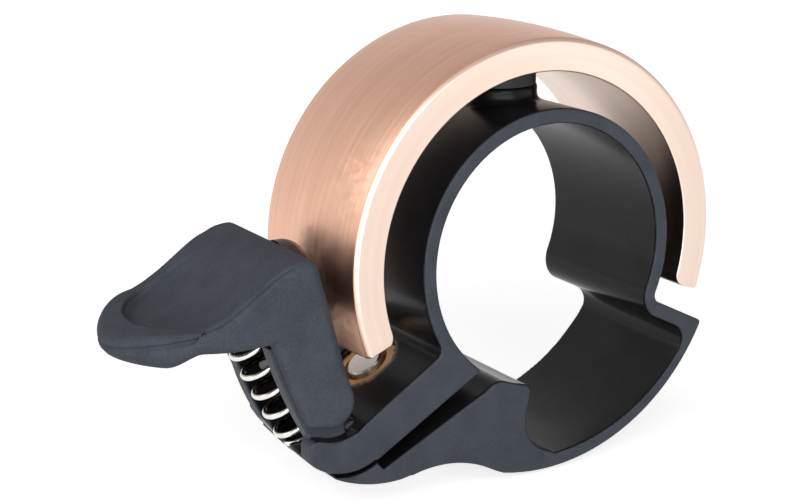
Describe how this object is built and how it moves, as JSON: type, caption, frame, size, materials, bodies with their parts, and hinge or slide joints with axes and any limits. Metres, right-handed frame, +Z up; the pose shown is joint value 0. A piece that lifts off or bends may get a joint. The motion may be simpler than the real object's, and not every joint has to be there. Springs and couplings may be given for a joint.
{
  "type": "bicycle bell",
  "caption": "Low handlebar bell: a split copper-coloured ring over a moulded clamp band with a cable strap below, struck by a sprung thumb lever.",
  "frame": {"origin": "on the handlebar's axis at the middle of the bracket's width", "axes": "+Y along the bar, away from the picture's side, +Z up, the thumb lever on the -X side"},
  "size_m": [0.0553, 0.0163, 0.0373],
  "materials": {
    "bracket_plastic": "fine-grained black-grey moulded nylon",
    "ring_copper": "brushed copper outside, polished edges and inside",
    "bush_rubber": "soft black rubber",
    "screw_steel": "plated steel",
    "insert_brass": "turned and knurled brass",
    "bolt_steel": "bright stainless steel",
    "washer_steel": "bright stainless steel",
    "pin_steel": "ground steel",
    "lever_plastic": "fine-grained black-grey moulded nylon",
    "striker_plastic": "hard black plastic with a sheen",
    "spring_steel": "bright drawn spring wire"
  },
  "bodies": {
    "frame": {"clamp_bracket": "bracket_plastic", "bell_ring": "ring_copper", "ring_bush": "bush_rubber", "ring_screw": "screw_steel", "threaded_insert": "insert_brass", "clamp_bolt": "bolt_steel", "bolt_washer": "washer_steel", "pivot_pin_near": "pin_steel", "pivot_pin_far": "pin_steel", "lever_spring": "spring_steel"},
    "lever": {"thumb_lever": "lever_plastic", "striker": "striker_plastic"}
  },
  "joints": [
    {"name": "lever_press", "type": "hinge", "parent": "frame", "child": "lever", "pos_m": [-0.02041, 0, -0.00904], "axis": [0, -1, 0], "range_deg": [-3.5, 16], "stiffness_Nm_per_rad": 0.1, "deforming": ["lever_spring"]}
  ]
}
